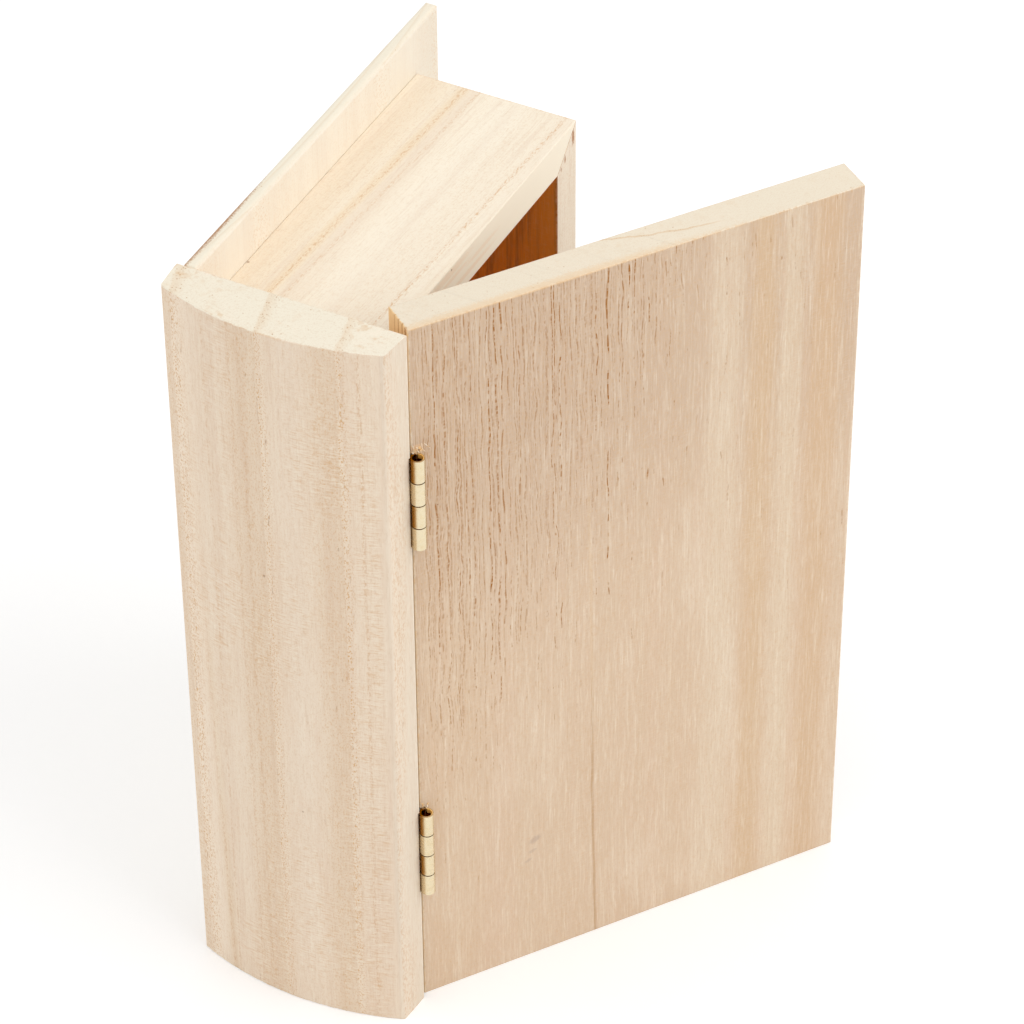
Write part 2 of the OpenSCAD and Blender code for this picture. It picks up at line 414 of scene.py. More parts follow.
def growth_rings(flow=ORIGIN, pith=ORIGIN, spacing=17, offset=0, bend=0, early=0.15, wandering=1):
    """Rings round a pith outside the board: the wood that darkens towards a ring's end, and the
    porous wood at its start and just before it."""
    from_pith = apart(flow, pith)
    radius = vector_calc("LENGTH", scaled(from_pith, LEVEL))
    radius = plus(radius, offset)
    radius = times_plus(wander(flow, 3.5, 30), wandering, radius)
    bent = times(radius, radius, bend)
    ring = calc("FRACT", plus(over(radius, spacing), bent))
    late = times(ramp(ring, *LATE_DARKENS), fall(ring, *LATE_STOPS))
    before = ramp(ring, times_plus(early, -0.3, 1.0), 1.0)
    porous = calc("MAXIMUM", fall(ring, 0.0, early), before)
    return {"Late": late, "Porous": porous}


def vessel_lines(flow=ORIGIN, spacing=0.95, width=0.19, density=0.5, seed=0):
    """Open vessels along a face: thin wavy rows of short dashes, more of them where the density
    is high."""
    x, y, z = split(flow)
    stray = times_plus(wander(seeded(flow, seed), 3.2, 11), 2.2, x)
    across = times_plus(y, 0.8, stray)
    row = plus(over(across, spacing), seed)
    number = calc("FLOOR", row)
    # Three numbers drawn for each row, which set its place, its width and its depth
    drawn = add("ShaderNodeTexWhiteNoise", {"W": number}, noise_dimensions="1D")
    aside, wide, deep = split(drawn.outputs["Color"])
    aside = times_plus(aside, 0.7, 0.15)
    off_line = calc("ABSOLUTE", minus(calc("FRACT", row), aside))
    wide = times(width, times_plus(wide, 0.45, 0.3))
    profile = over(times(off_line, spacing), wide)
    profile = calc("MULTIPLY_ADD", profile, -2.0, 2.6, clamp=True)
    counted = times(number, 7.3)
    beads = noise(combine(counted, 0.0, times(z, 0.9)), 1.0, 1.0)
    runs = noise(combine(counted, 50.0, times(z, 0.1)), 1.0, 3.0, 0.7)
    least = times_plus(density, -0.3, 0.7)
    kept = ramp(runs, least, plus(least, 0.05))
    kept = times(kept, ramp(beads, 0.35, 0.58, 0.2, 1.0))
    depth = times_plus(calc("POWER", deep, 1.1), 0.75, 0.25)
    return {"Line": times(kept, depth, profile)}


def end_pores(flow=ORIGIN, spacing=0.45, density=0.5, bore=0.26):
    """Open pores cut across at a board's end: small scattered dots."""
    cell = combine(spacing, spacing, 12.0)
    cells = {"Vector": vector_calc("DIVIDE", flow, cell), "Scale": 1.0, "Randomness": 1.0}
    pores = add("ShaderNodeTexVoronoi", cells).outputs
    chance, wide, deep = split(pores["Color"])
    kept = calc("LESS_THAN", chance, density)
    far = over(pores["Distance"], times(bore, plus(0.5, wide)))
    inside = calc("SUBTRACT", 1.4, far, clamp=True)
    tone = times(kept, times_plus(deep, 0.6, 0.4))
    return {"Pore": times(inside, tone)}


def fibre_streaks(flow=ORIGIN, seed=0):
    """Fine fibres, specks, fuzz, streaks and slow patches along the grain, each about one half
    on average."""
    own = seeded(flow, seed, seed)
    return {label: grain_noise(own, *grain) for label, grain in STREAKS.items()}


def long_band(
    flow=ORIGIN, place=10, width=3, lean=0, edge=0.5, broken=0, fade_from=-2, fade_to=-1
):
    """One darker or paler band along the grain, at a given distance across the board."""
    x, _, z = split(flow)
    rough = wander(flow, 1.0, 26, 3.0, 0.6)
    x = times_plus(rough, times(width, edge), x)
    off_centre = minus(x, times_plus(z, lean, place))
    far = over(calc("ABSOLUTE", off_centre), width)
    inside = calc("SUBTRACT", 1.0, far, clamp=True)
    faded = ramp(z, fade_from, fade_to)
    dots = ramp(grain_noise(flow, 0.4, 1.0, 3.0, 0.7), 0.47, 0.6)
    dots = times_plus(dots, broken, minus(1.0, broken))
    return {"Band": times(ramp(inside, 0.0, 0.8), faded, dots)}


def small_mark(place=ORIGIN, centre=ORIGIN, reach=(1, 1, 1), slant=0):
    """One small soft-edged mark in the wood, such as a knot's fleck or a smudge, or a patch of painted light or
    shade.
    """
    x, y, z = split(apart(place, centre))
    offset = combine(x, y, times_plus(x, slant, z))
    far = vector_calc("LENGTH", vector_calc("DIVIDE", offset, reach))
    return {"Mark": fall(plus(far, noise(place, 2.5)), 0.9, 1.5)}


def worn_arris(place=ORIGIN, size=(1, 1, 1), width=0.45):
    """Masks along the edges of a block of the given size: the long ones, and the rough ones at
    its sawn ends."""
    half = scaled(size, (0.5, 0.5, 0.5))
    centred = vector_calc("ABSOLUTE", apart(place, half))
    x, y, z = split(apart(half, centred))
    low = calc("MINIMUM", x, y)
    high = calc("MAXIMUM", x, y)
    wave = ramp(noise(place, 0.5, 4.0, 0.6), 0.3, 0.7, 0.2, 1.8)
    reach = times(width, wave)
    masks = {}
    for label, inward in (("Long", high), ("Cut", calc("MAXIMUM", low, z))):
        mask = calc("SUBTRACT", 1.0, over(inward, reach), clamp=True)
        masks[label] = ramp(mask, 0.0, 1.0)
    return masks


def sander_marks(place=ORIGIN):
    """Faint scratches of the sander, across the grain: about one half on average."""
    return {"Mark": grain_noise(place, 2.2, 0.34, roughness=0.6)}


def inner_walls(place=ORIGIN, low=ORIGIN, high=(1, 1, 1), normal=(0, 0, 1), inward=(0, 0, 1)):
    """A mask for the painted shade on what faces a hollow: inside the given block, on faces turned the given
    way.
    """
    inside = ramp(vector_calc("DOT_PRODUCT", normal, inward), 0.5, 0.8)
    above = split(apart(place, low))
    below = split(apart(high, place))
    for distance in (*above, *below):
        inside = times(inside, ramp(distance, -0.3, 0.1))
    return {"Inside": inside}


def brass_wear(place=ORIGIN):
    """Drawn lines, dull patches and small pits of sheet brass."""
    patch = ramp(noise(place, 0.8, 3.0, 0.6), 0.42, 0.75)
    drawn = noise(scaled(place, (6.0, 6.0, 0.4)))
    return {"Patch": patch, "Height": times_plus(noise(place, 5.0), 0.5, drawn)}


def pin_hollows(
    place=ORIGIN, normal=(0, 0, 1), pin=ORIGIN, side=(1, 0, 0), lip_side=(1, 0, 0), tops=ORIGIN
):
    """Masks round an upright pin, for painted light and shade: its bore and slit, painted in shade, the
    knuckles' side that faces the given way, painted with a dark reflection of the slit, and the lip of the bore
    below each of the given tops, painted as lit."""
    flat = scaled(apart(place, pin), LEVEL)
    radius = vector_calc("LENGTH", flat)
    ragged = minus(noise(place, 1.5, 3.0, 0.6), 0.5)
    towards = vector_calc("DOT_PRODUCT", flat, side)
    level = calc("ABSOLUTE", split(normal)["Z"])
    slit = times(fall(radius, *SLIT_EDGE), fall(level, 0.3, 0.6))
    bore = calc("MAXIMUM", slit, fall(radius, *BORE_EDGE))
    turned = times_plus(ragged, 0.3, over(towards, radius))
    facing = ramp(turned, 0.0, 0.75)
    z = split(place)["Z"]
    near = 0.0
    for top in split(tops)[:2]:
        depth = times_plus(ragged, 0.5, minus(top, z))
        within = times(fall(depth, 0.9, 1.1), ramp(depth, -0.5, -0.3))
        near = calc("MAXIMUM", within, near)
    lipped = over(vector_calc("DOT_PRODUCT", flat, lip_side), radius)
    lipped = times(ramp(lipped, 0.4, 0.65), fall(radius, *LIP_EDGE))
    return {"Bore": bore, "Side": facing, "Lip": times(near, lipped)}


# Boards and their wood

# Places that no board reaches, for what a board's look leaves out
PAST_THE_BOARD = (1000, 1001)
BELOW_THE_BOARD = (-2, -1)

# What every board's wood starts from, and a board's own look changes. Places, spacings and pairs
# of places are in millimetres. The rest are shares, turns and seeds.
PLAIN_LOOK = dict(
    tone="tray_tone", across=ALONG_X, grain=ALONG_Z, turned=Matrix.Identity(3),
    inward=None, inside=None, seed=0, lean=0, sway=2.0, pith=(-1000, 0, 0),
    ring_spacing=23, ring_offset=-1010, ring_bend=0, ring_early=0.15,
    ring_wandering=1.5, late=0.16, late_end=0.25, late_to=PAST_THE_BOARD,
    blush=0.25, pale=0.25, patch=0.2, fibre=0.2, bands=(), marks=(),
    vessels=0.1, vessels_to=PAST_THE_BOARD, vessels_lean=0, vessels_foot=(0, 1, 1),
    vessels_crest=(*PAST_THE_BOARD, 1), ring_vessels=0.7, vessel_spacing=0.95,
    vessel_strength=0.5, pores=0.02, ring_pores=0.6, pore_strength=0.6,
    end_speck=0.1, grainy=0.35, speck=0.12, sanded=0.12,
    sanded_to=PAST_THE_BOARD, end_shade=0, end_fibre=1, arris=0.5, cut_arris=0.4,
)


def band(place, width, tone, strength, lean=0, edge=0.5, broken=0, fade=BELOW_THE_BOARD):
    """A band along the grain, which fades in from fade's first place to its second."""
    values = {"place": place, "width": width, "lean": lean, "edge": edge, "broken": broken}
    return {**values, "fade_from": fade[0], "fade_to": fade[1]}, tone, strength


def dotted(tone, edge, *rows):
    """Thin bands broken into dots, each row with a place, a width and a strength."""
    return [band(place, width, tone, part, edge=edge, broken=1) for place, width, part in rows]


def mark(x, z, reach_x, reach_z, tone, strength, slant=0, y=0, reach_y=3):
    """A small mark, centred on x, y, z and as large as its reaches."""
    reach = (reach_x, reach_y, reach_z)
    return {"centre": (x, y, z), "reach": reach, "slant": slant}, tone, strength


DARK_CRACK = (0.30, 0.14, 0.06)
BROWN_GLUE = (0.45, 0.21, 0.09)
RIM_STREAK = (0.90, 0.68, 0.46)
GREY_SMUDGE = (0.48, 0.355, 0.28)
ORANGE_STREAK = (0.74, 0.55, 0.36)
RUSTY_DOTS = (0.62, 0.35, 0.16)
ORANGE_DOTS = (0.66, 0.36, 0.13)
GOLDEN_FIBRE = (0.84, 0.55, 0.26)

# What the tray's four boards enclose, in metres: the hollow whose walls get painted shade
TRAY_HOLLOW = (
    Vector((-1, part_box("spine_side_board")[1][1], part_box("bottom_board")[1][2])),
    Vector((1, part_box("fore_edge_board")[0][1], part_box("top_board")[0][2])),
)

LOOKS = {
    "spine": dict(
        tone="spine_tone", seed=3, pith=(-140, -34.8, 0), ring_spacing=21.2,
        ring_offset=-148.4, ring_bend=0.000245, ring_early=0.14, ring_wandering=1.2,
        late=0.22, late_end=0.22, sway=1.2, vessels=0.2, ring_vessels=0.35,
        vessel_spacing=1.1, ring_pores=0.9, pores=0.015, pore_strength=0.9,
        fibre=0.26, grainy=0.9, speck=0.22, sanded=0.5, sanded_to=(46.5, 48.5),
        bands=(
            band(9.75, 2.2, ORANGE_STREAK, 0.4, lean=-0.027),
            band(9.75, 0.7, RUSTY_DOTS, 0.6, lean=-0.027, edge=1.2, broken=1),
            # Painted light: the spine's left part painted paler, to lift the shade where its curve turns away
            # from the lamps
            band(3, 8, (0.92, 0.775, 0.62), 0.85),
            band(51, 3, (0.79, 0.715, 0.60), 1.0, edge=0),
            band(30, 4, (0.87, 0.74, 0.60), 0.35),
            *dotted(RUSTY_DOTS, 1.5, (11.1, 0.4, 0.4), (17.6, 0.5, 0.4), (20, 0.5, 0.4)),
            *dotted(RUSTY_DOTS, 1.5, (44.3, 0.6, 0.5)),
            *dotted(RUSTY_DOTS, 1.0, (49.4, 0.5, 0.45)),
        ),
        marks=(
            mark(23.1, 118.4, 0.35, 0.5, DARK_CRACK, 0.55),
            mark(29.3, 56.4, 0.3, 0.3, DARK_CRACK, 0.5),
            mark(39.4, 130.4, 0.3, 0.9, DARK_CRACK, 0.4),
            mark(40.2, 97.0, 0.5, 2.5, (0.62, 0.36, 0.18), 0.6),
        ),
    ),
    "front_cover": dict(
        tone="front_tone", across=ALONG_Y, turned=TO_CLOSED, seed=11,
        pith=(78.1, 93.1, 0), ring_spacing=60, ring_offset=29.4, ring_early=0.01,
        late=0, late_to=(66, 71), vessels=0.95, vessels_to=(-32, 20),
        vessels_lean=-0.35, vessels_foot=(20, 110, 0.5), vessels_crest=(200, 225, 1.35),
        ring_vessels=0, ring_pores=0.9, vessel_spacing=1.15, vessel_strength=1.0,
        grainy=0.0, speck=0.24, fibre=0.36, late_end=0.45, end_speck=0.15,
        end_shade=0.16, end_fibre=0.35, blush=0.3,
        bands=(
            band(20, 52, (0.60, 0.435, 0.31), 0.6, edge=0.2, fade=(70, 165)),
            band(6, 12, (0.66, 0.47, 0.31), 0.35, edge=0.3),
            band(60, 200, (0.58, 0.42, 0.295), 0.6, edge=0, fade=(95, 150)),
            band(95, 45, (0.76, 0.585, 0.425), 0.5, edge=0.2, fade=(85, 20)),
            band(69.5, 6, (0.75, 0.61, 0.455), 0.6, edge=0.7),
            band(78, 4.5, (0.67, 0.475, 0.30), 0.7, edge=0.9),
            band(84.5, 4, (0.75, 0.61, 0.45), 0.6, edge=0.7),
            band(92.2, 5.5, (0.66, 0.455, 0.285), 0.7, edge=0.9),
            band(41.3, 0.45, (0.36, 0.17, 0.07), 0.95, lean=-0.02, edge=0.8, fade=(85, 60)),
            band(41.3, 0.5, ORANGE_STREAK, 0.5, lean=-0.02, edge=0.8, fade=(150, 90)),
        ),
        marks=(
            # Painted bounce light: the cover's edge face by the spine painted bright orange, to lift its shade
            # in the slit
            mark(0, 90, 0.3, 900, (0.99, 0.70, 0.37), 0.9, y=4, reach_y=90),
            mark(0, 176, 0.6, 14, (0.42, 0.17, 0.04), 0.75, y=0.9, reach_y=0.55),
            mark(0, 174, 0.6, 14, (0.52, 0.24, 0.07), 0.7, y=2.3, reach_y=0.4),
            mark(0, 176, 0.6, 10, (0.52, 0.24, 0.07), 0.6, y=3.9, reach_y=0.35),
            mark(0, 173, 0.6, 14, (0.60, 0.31, 0.10), 0.5, y=5.6, reach_y=0.4),
            mark(0, 100, 0.5, 60, (0.60, 0.30, 0.11), 0.5, y=2.1, reach_y=0.6),
            mark(2.96, 32.6, 0.3, 2.4, DARK_CRACK, 0.8),
            mark(1.2, 150.9, 2.0, 1.0, (0.80, 0.52, 0.30), 0.55),
            mark(26.6, 34.0, 1.8, 1.2, GREY_SMUDGE, 0.5, slant=-0.3),
            mark(26.0, 30.9, 1.3, 0.7, GREY_SMUDGE, 0.35, slant=-0.3),
            mark(25.0, 28.5, 1.1, 0.6, GREY_SMUDGE, 0.35, slant=-0.3),
            mark(5.54, 134.8, 0.25, 0.25, DARK_CRACK, 0.8),
            mark(25, 180, 55, 0.45, (0.83, 0.60, 0.37), 0.6, reach_y=2.4),
        ),
    ),
    "back_cover": dict(
        tone="back_tone", across=ALONG_Y, inward=ALONG_X, inside=TRAY_HOLLOW,
        seed=23, sway=0.4, pith=(50, 400, 0), ring_spacing=2.1, ring_offset=0.4,
        ring_early=0.3, ring_wandering=0.3, late=0.05, late_end=0.15, vessels=0.0,
        ring_vessels=0.0, pores=0.0, ring_pores=0.02, blush=0.12, fibre=0.08,
        speck=0.04, sanded=0.05, end_speck=0.05, cut_arris=0.15,
        # Painted shade: the back cover darker towards its far end
        bands=(band(108, 45, (0.83, 0.755, 0.635), 0.85, edge=0.1),),
        # Painted shade: a dark brown line along the top of the back cover's outer side, where its arris turns
        # into shade
        marks=(mark(12, 180, 24, 1.6, (0.42, 0.19, 0.07), 0.85, y=3, reach_y=1.5),),
    ),
    "top_board": dict(
        grain=ALONG_Y, inward=-ALONG_Z, sway=0.7, seed=31, lean=-0.035,
        ring_offset=-1008.5, ring_early=0.05, late=0.05, ring_vessels=0.1,
        vessel_strength=0.3, grainy=0.2,
        bands=(
            band(3, 5, (0.93, 0.80, 0.61), 0.35),
            band(20, 6, (0.97, 0.90, 0.76), 0.3),
            band(36.6, 3, (0.91, 0.77, 0.56), 0.4),
            band(8.2, 1.8, (0.88, 0.68, 0.43), 0.4, edge=0.6),
            *dotted(ORANGE_DOTS, 0.5, (8.4, 0.8, 0.55), (11.5, 0.6, 0.4), (31.4, 0.6, 0.6)),
        ),
        marks=(
            # Painted light: the rim facing the open cover painted paler, to lift the cover's shadow on it
            mark(36.8, 45, 0.12, 900, (1.0, 0.93, 0.77), 0.9, y=4, reach_y=90),
            mark(36.8, 34, 0.3, 12, RIM_STREAK, 0.4, y=1.4, reach_y=1.2),
            mark(36.8, 36, 0.3, 9, RIM_STREAK, 0.4, y=3.2, reach_y=0.7),
            mark(36.8, 48, 0.3, 9, RIM_STREAK, 0.35, y=4.0, reach_y=0.8),
            mark(36.8, 42, 0.3, 14, RIM_STREAK, 0.45, y=6.0, reach_y=0.8),
            mark(36.8, 35, 0.5, 0.35, DARK_CRACK, 0.75, y=0.85, reach_y=0.35),
            mark(0.4, 18.5, 0.5, 0.5, DARK_CRACK, 0.6),
        ),
    ),
    "bottom_board": dict(grain=ALONG_Y, inward=ALONG_Z, seed=47, ring_offset=-1003),
    "fore_edge_board": dict(
        inward=-ALONG_Y, seed=59, ring_offset=-1016,
        # Painted light: the fore-edge board painted paler, to lift the open cover's shadow on its rim
        bands=(band(10, 60, (1.0, 0.95, 0.82), 0.8),),
        marks=(
            mark(36.8, 154.5, 1.6, 2.6, BROWN_GLUE, 0.9, y=7.0, reach_y=0.7),
            mark(36.8, 151.2, 1.6, 1.3, BROWN_GLUE, 0.8, y=3.4, reach_y=0.45),
            mark(36.8, 149.8, 1.6, 0.8, BROWN_GLUE, 0.6, y=1.6, reach_y=0.4),
        ),
    ),
    "spine_side_board": dict(inward=ALONG_Y, seed=71, ring_offset=-1007),
}


def board_axes(look):
    """Across the board's face, through its thickness and along its grain, as a matrix's rows."""
    across, grain = look["across"], look["grain"]
    return Matrix((across, grain.cross(across), grain)) @ look["turned"]


def board_place(node, axes):
    """The board's lowest corner along its own axes and its size, in millimetres."""
    corners = [axes @ vertex.co / MM for vertex in frame["nodes"][node].data.vertices]
    low = Vector([min(corner[i] for corner in corners) for i in range(3)])
    high = Vector([max(corner[i] for corner in corners) for i in range(3)])
    return low, high - low


def new_material(name):
    material = bpy.data.materials.new(name)
    material.use_nodes = True
    return material, material.node_tree.nodes["Principled BSDF"]


def dress(node, material):
    slots = frame["nodes"][node].material_slots
    if not slots:
        raise RuntimeError(node + " has no material slot")
    for slot in slots:
        slot.material = material


# What a look says of its rings, each name after ring_
RING_VALUES = ("spacing", "offset", "bend", "early", "wandering")
# How squarely a face crosses the grain where it starts to be an end, and where it fully is one
CROSSES_GRAIN = (0.45, 0.8)
# The two rows of vessels: their shares of the row spacing and of the strength
VESSEL_ROWS = ((1.0, 1.0), (0.57, 0.45))
# Where few vessels are open: their share of the density, how strong the last ones are, and within
# how many millimetres they fade
FEW_VESSELS = 0.35
FADED_VESSELS = 0.35
FADE_REACH = 15
# What the sanding leaves of the specks
SANDED_SPECKS = 0.2
# How far the roughness swings from fibre to fibre
ROUGHNESS_SWING = 0.06
# How deep the relief of a surface is, in millimetres
WOOD_RELIEF = 0.06
FIBRE_RELIEF = 0.02
BRASS_RELIEF = 0.012
# Fibres over everything: the noise, the tone, and the ramp of its strength
FIBRES = (
    ("Fine", "late_tone", (0.5, 0.8, 0.0, 1.0)),
    ("Fine", "pale_tone", (0.2, 0.5, 1.0, 0.0)),
    ("Fuzz", "late_tone", (0.5, 0.8, 0.0, 1.0)),
    ("Fuzz", "pale_tone", (0.2, 0.5, 0.4, 0.0)),
)


class SawnWood:
    """The wood of one board, laid on layer by layer as the board's look says."""

    def __init__(self, node):
        self.tones = bpy.context.scene.book_box_wood
        self.look = {**PLAIN_LOOK, **LOOKS[node]}
        self.material, self.shader = new_material(node + "_wood")
        self.axes = board_axes(self.look)
        self.low, self.size = board_place(node, self.axes)
        coordinates = add("ShaderNodeTexCoord", tree=self.material.node_tree).outputs
        self.normal = coordinates["Normal"]
        mapping = {
            "Vector": coordinates["Object"], "Location": -self.low,
            "Rotation": self.axes.to_euler(), "Scale": (1 / MM, 1 / MM, 1 / MM),
        }
        self.place = add("ShaderNodeMapping", mapping).outputs["Vector"]
        along = self.axes.transposed() @ ALONG_Z
        self.facing = calc("ABSOLUTE", vector_calc("DOT_PRODUCT", self.normal, along))
        self.grow()
        self.open_vessels()
        self.cut_ends()
        if self.look["inward"]:
            self.stain_inside()
        self.raise_fibres()
        self.sand()
        for values, tone, strength in self.look["marks"]:
            self.tint.lay(tone, effect(small_mark, place=self.place, **values)[0], strength)
        self.wear_edges()
        self.finish()

    def grow(self):
        """The body of the wood: its flow, rings, bands, streaks and specks."""
        look, tones = self.look, self.tones
        self.ends = ramp(self.facing, *CROSSES_GRAIN)
        bent = {name: look[name] for name in ("lean", "sway", "seed")}
        self.flow = effect(grain_flow, place=self.place, **bent)["Vector"]
        ring = {name: look["ring_" + name] for name in RING_VALUES}
        rings = effect(growth_rings, flow=self.flow, pith=look["pith"], **ring)
        late, self.porous = rings["Late"], rings["Porous"]
        self.streaks = effect(fibre_streaks, flow=self.flow, seed=look["seed"])
        broad, patch, streak = (self.streaks[name] for name in ("Broad", "Patch", "Streak"))
        self.tint = tint = Tint(getattr(tones, look["tone"]))
        tint.lay(tones.blush_tone, ramp(broad, 0.4, 0.72, 0.0, look["blush"]))
        tint.lay(tones.pale_tone, ramp(patch, 0.3, 0.5, look["patch"], 0.0))
        for values, tone, strength in look["bands"]:
            tint.lay(tone, effect(long_band, flow=self.flow, **values)["Band"], strength)
        tint.lay(tones.blush_tone, ramp(streak, 0.5, 0.8, 0.0, look["blush"]))
        tint.lay(tones.pale_tone, ramp(streak, 0.25, 0.5, look["pale"], 0.0))
        tint.lay(tones.late_tone, late, look["late"])
        self.specks = ramp(self.streaks["Speck"], 0.5, 0.68)
        grainy = calc("MAXIMUM", self.porous, times(late, 0.35))
        self.x, _, self.z = split(self.place)
        specked = times_plus(grainy, look["grainy"], look["speck"])
        kept = ramp(self.x, *look["sanded_to"], 1.0, SANDED_SPECKS)
        tint.lay(tones.speck_tone, times(self.specks, times(specked, kept)))

    def open_vessels(self):
        """Rows of open vessels: dense from one side of the board on and in the rings' porous
        wood, fewer and paler towards the foot, and stronger where the crest begins."""
        look, tones = self.look, self.tones
        foot_from, foot_to, foot_share = look["vessels_foot"]
        leaned = times_plus(self.z, look["vessels_lean"], self.x)
        dense = look["vessels"]
        dense = ramp(leaned, *look["vessels_to"], dense, dense * FEW_VESSELS)
        footward = ramp(self.z, foot_from, foot_to, foot_share, 1.0)
        dense = times(dense, footward)
        edge = look["vessels_to"][1]
        lasting = ramp(leaned, edge - FADE_REACH, edge + FADE_REACH, 1.0, FADED_VESSELS)
        crest_from, crest_to, crest_share = look["vessels_crest"]
        crest = ramp(times_plus(self.x, 2.0, self.z), crest_from, crest_to, 1.0, crest_share)
        tone = mix(footward, tones.shallow_tone, tones.vessel_tone)
        dense = times_plus(self.porous, look["ring_vessels"], dense)
        for spacing, strength in VESSEL_ROWS:
            values = {"spacing": look["vessel_spacing"] * spacing, "seed": look["seed"]}
            line = effect(vessel_lines, flow=self.flow, density=dense, **values)["Line"]
            shown = times(footward, crest, strength * look["vessel_strength"])
            self.tint.lay(tone, times(line, times(shown, lasting)))
        self.vessels = line

    def cut_ends(self):
        """End grain, on the faces across the grain: shade, porous rings, specks and pores."""
        look, tones = self.look, self.tones
        porous = times(self.porous, ramp(self.x, *look["late_to"], 1.0, 0.0))
        tint = Tint(tones.end_tone)
        tint.lay(tones.pale_tone, ramp(self.streaks["Patch"], 0.35, 0.75, 0.0, 0.25))
        tint.lay(tones.late_tone, look["end_shade"])
        tint.lay(tones.speck_tone, porous, look["late_end"])
        tint.lay(tones.speck_tone, self.specks, look["end_speck"])
        density = times_plus(porous, look["ring_pores"], look["pores"])
        pores = effect(end_pores, flow=self.flow, density=density)["Pore"]
        tint.lay(tones.pore_tone, pores, look["pore_strength"])
        self.tint.lay(tint.colour, self.ends)

    def stain_inside(self):
        """Painted shade: the deep brown of the faces that enclose the tray's hollow, where shade and warm bounce
        light fall.
        """
        low, high = (-1, -1, -1), self.size + Vector((1, 1, 1))
        if self.look["inside"]:
            corners = [self.axes @ corner / MM - self.low for corner in self.look["inside"]]
            low, high = (Vector(map(pick, *corners)) for pick in (min, max))
        facing = {"normal": self.normal, "inward": self.look["inward"]}
        inside = effect(inner_walls, place=self.place, low=low, high=high, **facing)
        stain = Tint(self.tones.tray_inner_tone)
        stain.lay(DARK_CRACK, ramp(self.streaks["Streak"], 0.45, 0.7, 0.0, 0.5))
        self.tint.lay(stain.colour, inside["Inside"])

    def raise_fibres(self):
        """Fine and fuzzy fibres over everything, fewer on the ends."""
        full = self.look["fibre"]
        fibre = ramp(self.facing, *CROSSES_GRAIN, full, full * self.look["end_fibre"])
        for streak, tone, limits in FIBRES:
            mask = ramp(self.streaks[streak], *limits)
            self.tint.lay(getattr(self.tones, tone), mask, fibre)

    def sand(self):
        """The sander's scratches, in patches, up to where the board was sanded."""
        scratches = effect(sander_marks, place=self.place)["Mark"]
        worked = ramp(self.streaks["Patch"], 0.42, 0.6, 0.0, self.look["sanded"])
        worked = times(worked, ramp(self.x, *self.look["sanded_to"], 1.0, 0.0))
        self.tint.lay(self.tones.speck_tone, ramp(scratches, 0.5, 0.75), worked)
        self.tint.lay(self.tones.pale_tone, ramp(scratches, 0.25, 0.5, 1.0, 0.0), worked)

    def wear_edges(self):
        """Paler long edges, and rusty fibres torn at the sawn ends' edges."""
        width = self.tones.arris_width / MM
        edges = effect(worn_arris, place=self.place, size=self.size, width=width)
        self.tint.lay(self.tones.pale_tone, edges["Long"], self.look["arris"])
        torn = ramp(self.streaks["Fuzz"], 0.35, 0.6, 0.0, self.look["cut_arris"])
        self.tint.lay(self.tones.speck_tone, edges["Cut"], torn)

    def finish(self):
        """The colour, sheen and relief, joined to the shader."""
        fine = self.streaks["Fine"]
        rough = self.tones.roughness
        rough = ramp(fine, 0.3, 0.7, rough - ROUGHNESS_SWING, rough + ROUGHNESS_SWING)
        relief = times_plus(self.vessels, -0.5, times(fine, 0.35))
        feed(self.shader, {
            "Base Color": self.tint.colour, "Roughness": rough, "Specular IOR Level": 0.3,
            "Normal": bump(relief, WOOD_RELIEF),
        })


# Brass: the strength of its dull patches, and how much rougher they and the pins are
TARNISH = 0.25
DULL_ROUGHNESS = 0.14
PIN_ROUGHNESS = 0.2
# How dark each leaf's knuckles are painted beside the slit, as a dark reflection of it
LEAF_CREVICES = {"spine": 0.15, "cover": 1.0}


def plain_material(name):
    """A new material and its shader, and where a point lies in millimetres and how it faces."""
    material, shader = new_material(name)
    coordinates = add("ShaderNodeTexCoord", tree=material.node_tree).outputs
    place = scaled(coordinates["Object"], (1 / MM,) * 3)
    return material, shader, place, coordinates["Normal"]


def brass_material(name, tone, roughness, crevice):
    """Rolled brass, with painted shade in its bore and slit and, as strongly as given, a painted dark reflection
    on the knuckles' side by the spine."""
    brass = bpy.context.scene.book_box_brass
    material, shader, place, normal = plain_material(name)
    wear = effect(brass_wear, place=place)
    tint = Tint(tone)
    tint.lay(brass.tarnish_tone, wear["Patch"], TARNISH)
    tops = Vector([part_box(hinge + "_cover_leaf")[1][2] / MM for hinge in HINGES] + [0])
    ways = {"side": CREVICE_SIDE, "lip_side": LIP_SIDE}
    hollows = effect(pin_hollows, place=place, normal=normal, pin=PIN / MM, tops=tops, **ways)
    # Painted reflection and shade: the knuckles' side by the spine darkened as a reflection of the shaded slit,
    # and the bore and slit painted in shade
    tint.lay(brass.crevice_tone, hollows["Side"], crevice)
    tint.lay(brass.crevice_tone, hollows["Bore"])
    # Painted light: the lip in the bore painted bright and not metallic, as lit where light falls into it
    tint.lay(brass.lip_tone, hollows["Lip"])
    feed(shader, {
        "Base Color": tint.colour, "Metallic": minus(1.0, hollows["Lip"]),
        "Roughness": ramp(wear["Patch"], 0.0, 1.0, roughness, roughness + DULL_ROUGHNESS),
        "Normal": bump(wear["Height"], BRASS_RELIEF),
    })
    return material


